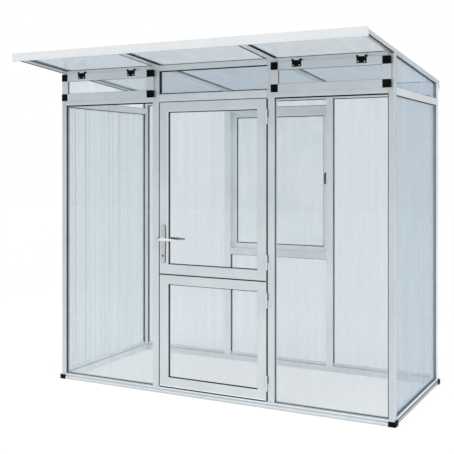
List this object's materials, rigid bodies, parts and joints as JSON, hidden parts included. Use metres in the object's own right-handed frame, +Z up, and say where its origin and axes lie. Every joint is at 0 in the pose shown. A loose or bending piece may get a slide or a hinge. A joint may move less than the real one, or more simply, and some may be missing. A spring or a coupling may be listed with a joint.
{
  "type": "pent greenhouse",
  "caption": "Small glazed greenhouse with a pent roof high over the door, stable door, top-hung vents, side-hung rear window, clear front panes and twin-wall sheets.",
  "frame": {"origin": "on the ground under the middle of the whole outline, roof overhang included", "axes": "+Z up, +X to the right seen from the door, +Y from the door wall to the rear wall"},
  "size_m": [2.528, 1.685, 2.334],
  "materials": {
    "aluminium_frame": "satin anodised",
    "white_fascia": "smooth powder coat",
    "clear_pane": "clear polished",
    "twin_wall_sheet": "clear twin-wall, ribbed",
    "black_plastic": "moulded matt",
    "handle_steel": "brushed",
    "rubber_seal": "extruded matt"
  },
  "bodies": {
    "house": {"sill_front": "aluminium_frame", "sill_rear": "aluminium_frame", "sill_left": "aluminium_frame", "sill_right": "aluminium_frame", "foot_front_left": "black_plastic", "foot_front_right": "black_plastic", "foot_rear_left": "black_plastic", "foot_rear_right": "black_plastic", "post_front_left": "aluminium_frame", "post_front_right": "aluminium_frame", "post_rear_left": "aluminium_frame", "post_rear_right": "aluminium_frame", "post_door_left": "aluminium_frame", "post_door_right": "aluminium_frame", "post_window_left": "aluminium_frame", "post_window_right": "aluminium_frame", "rail_side_left": "aluminium_frame", "rail_side_right": "aluminium_frame", "transom_left": "aluminium_frame", "transom_right": "aluminium_frame", "transom_door": "aluminium_frame", "beam_front": "aluminium_frame", "beam_rear": "aluminium_frame", "window_head_rail": "aluminium_frame", "window_sill_rail": "aluminium_frame", "fascia_front": "white_fascia", "rafter_left": "aluminium_frame", "rafter_middle_left": "aluminium_frame", "rafter_middle_right": "aluminium_frame", "rafter_right": "aluminium_frame", "roof_sheet_left": "twin_wall_sheet", "roof_sheet_middle": "twin_wall_sheet", "roof_sheet_right": "twin_wall_sheet", "side_sheet_left": "twin_wall_sheet", "side_sheet_right": "twin_wall_sheet", "gable_sheet_left": "twin_wall_sheet", "gable_sheet_right": "twin_wall_sheet", "rear_sheet_left": "twin_wall_sheet", "rear_sheet_right": "twin_wall_sheet", "rear_sheet_lower": "twin_wall_sheet", "rear_sheet_upper": "twin_wall_sheet", "pane_front_left": "clear_pane", "pane_front_right": "clear_pane", "fanlight_pane": "clear_pane"},
    "upper_leaf": {"door_upper_frame": "aluminium_frame", "door_upper_pane": "clear_pane", "escutcheon_outer": "handle_steel", "escutcheon_inner": "handle_steel"},
    "lower_leaf": {"door_lower_frame": "aluminium_frame", "door_lower_pane": "clear_pane"},
    "handle": {"door_handle": "handle_steel"},
    "latch": {"latch_bolt": "handle_steel"},
    "joining_bolt": {"leaf_bolt": "handle_steel"},
    "left_vent": {"vent_left_frame": "aluminium_frame", "vent_left_pane": "clear_pane"},
    "right_vent": {"vent_right_frame": "aluminium_frame", "vent_right_pane": "clear_pane"},
    "window": {"window_frame": "aluminium_frame", "window_pane": "clear_pane"},
    "window_grip": {"window_handle": "black_plastic"}
  },
  "joints": [
    {"name": "upper_leaf_swing", "type": "hinge", "parent": "house", "child": "upper_leaf", "pos_m": [0.409, -0.3191, 1.415], "axis": [0, 0, 1], "range_deg": [0, 105]},
    {"name": "lower_leaf_swing", "type": "hinge", "parent": "house", "child": "lower_leaf", "pos_m": [0.409, -0.3191, 0.43], "axis": [0, 0, 1], "range_deg": [0, 105]},
    {"name": "handle_turn", "type": "hinge", "parent": "upper_leaf", "child": "handle", "pos_m": [-0.375, -0.3105, 1.062], "axis": [0, 1, 0], "range_deg": [0, 40], "stiffness_Nm_per_rad": 1.2, "springref_deg": -34.38},
    {"name": "latch_slide", "type": "slide", "parent": "upper_leaf", "child": "latch", "axis": [1, 0, 0], "range_m": [0, 0.0141]},
    {"name": "joining_bolt_slide", "type": "slide", "parent": "lower_leaf", "child": "joining_bolt", "axis": [0, 0, 1], "range_m": [0, 0.028]},
    {"name": "left_vent_tilt", "type": "hinge", "parent": "house", "child": "left_vent", "pos_m": [-0.841, -0.3305, 2.241], "axis": [-1, 0, 0], "range_deg": [0, 60]},
    {"name": "right_vent_tilt", "type": "hinge", "parent": "house", "child": "right_vent", "pos_m": [0.841, -0.3305, 2.241], "axis": [-1, 0, 0], "range_deg": [0, 60]},
    {"name": "window_swing", "type": "hinge", "parent": "house", "child": "window", "pos_m": [-0.431, 0.8345, 1.4485], "axis": [0, 0, 1], "range_deg": [0, 90]},
    {"name": "window_grip_turn", "type": "hinge", "parent": "window", "child": "window_grip", "pos_m": [0.392, 0.816, 1.4995], "axis": [0, 1, 0], "range_deg": [0, 90]}
  ],
  "couplings": [
    {"joint": "latch_slide", "follows": "handle_turn", "m_per_rad": 0.02}
  ]
}
